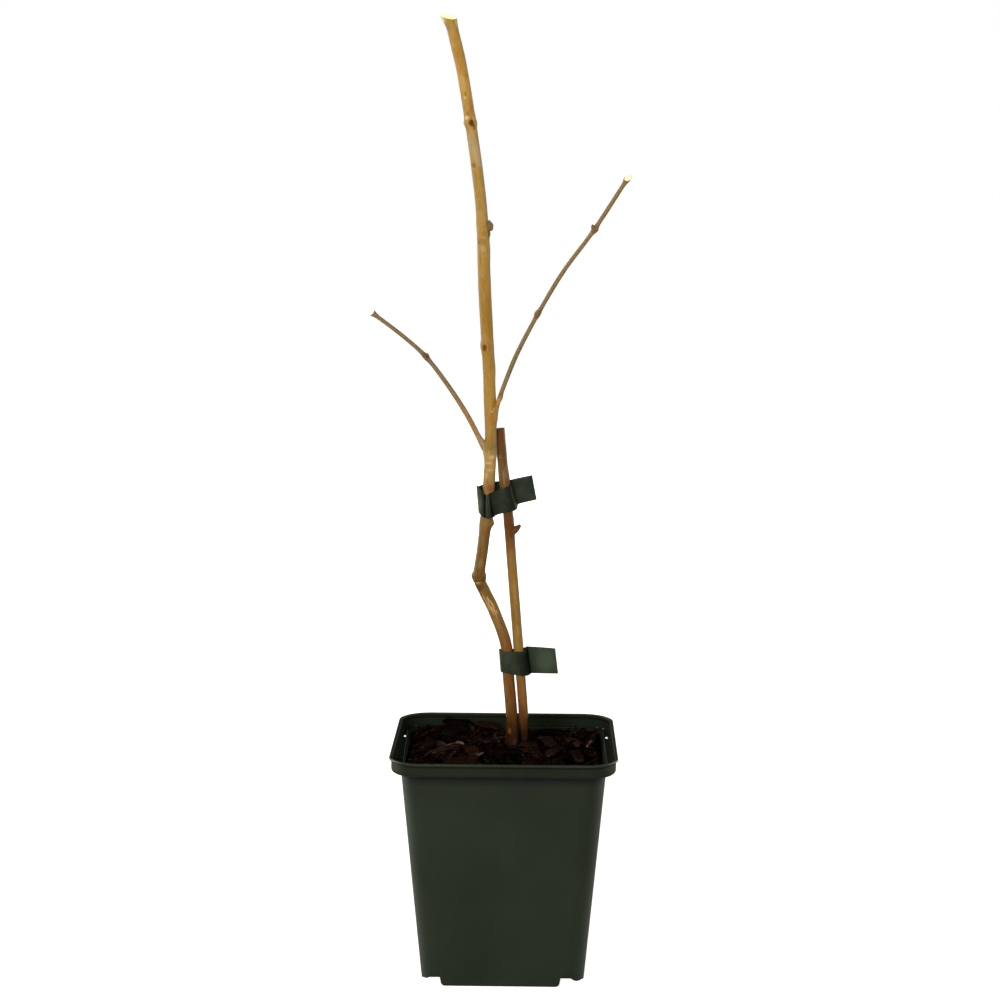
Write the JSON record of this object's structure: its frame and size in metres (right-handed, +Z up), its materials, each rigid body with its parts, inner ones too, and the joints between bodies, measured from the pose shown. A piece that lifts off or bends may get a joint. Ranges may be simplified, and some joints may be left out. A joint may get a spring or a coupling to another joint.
{
  "type": "potted thornless bramble",
  "caption": "Winter-bare thornless bramble: a tall bent woody cane with side shoots and a short cut-back cane, held by plastic ties, in a square green nursery pot of bark-mulched compost",
  "frame": {"origin": "middle of the flat foot under the pot, on the ground", "axes": "+Z up, -Y towards the front view, +X to the right side where the ties' tabs point; the pot's sides are parallel to X and Y"},
  "size_m": [0.1506, 0.13, 0.5524],
  "materials": {
    "pot": "dark green moulded plastic, faint satin sheen, paler at the corners and on the rim's bead",
    "compost": "moist dark brown compost with crumbs of bark",
    "cane": "ochre bark, redder below the bend, pale tan with cross rings under the side shoots, pale cut face",
    "old_cane": "older bark, red-brown near the top, ochre below",
    "shoot": "thin tan bark with swollen buds and pale cut tips",
    "tie": "soft dark green plastic strip, satin",
    "chip": "reddish dark bark chips with paler torn edges"
  },
  "bodies": {
    "root": {"pot": "pot", "compost": "compost", "tall_cane": "cane", "short_cane": "old_cane", "left_shoot": "shoot", "right_shoot": "shoot", "upper_tie": "tie", "lower_tie": "tie", "bark_chip_1": "chip", "bark_chip_2": "chip", "bark_chip_3": "chip", "bark_chip_4": "chip", "bark_chip_5": "chip", "bark_chip_6": "chip", "bark_chip_7": "chip", "bark_chip_8": "chip", "bark_chip_9": "chip", "bark_chip_10": "chip", "bark_chip_11": "chip", "bark_chip_12": "chip", "bark_chip_13": "chip", "bark_chip_14": "chip"}
  },
  "joints": []
}
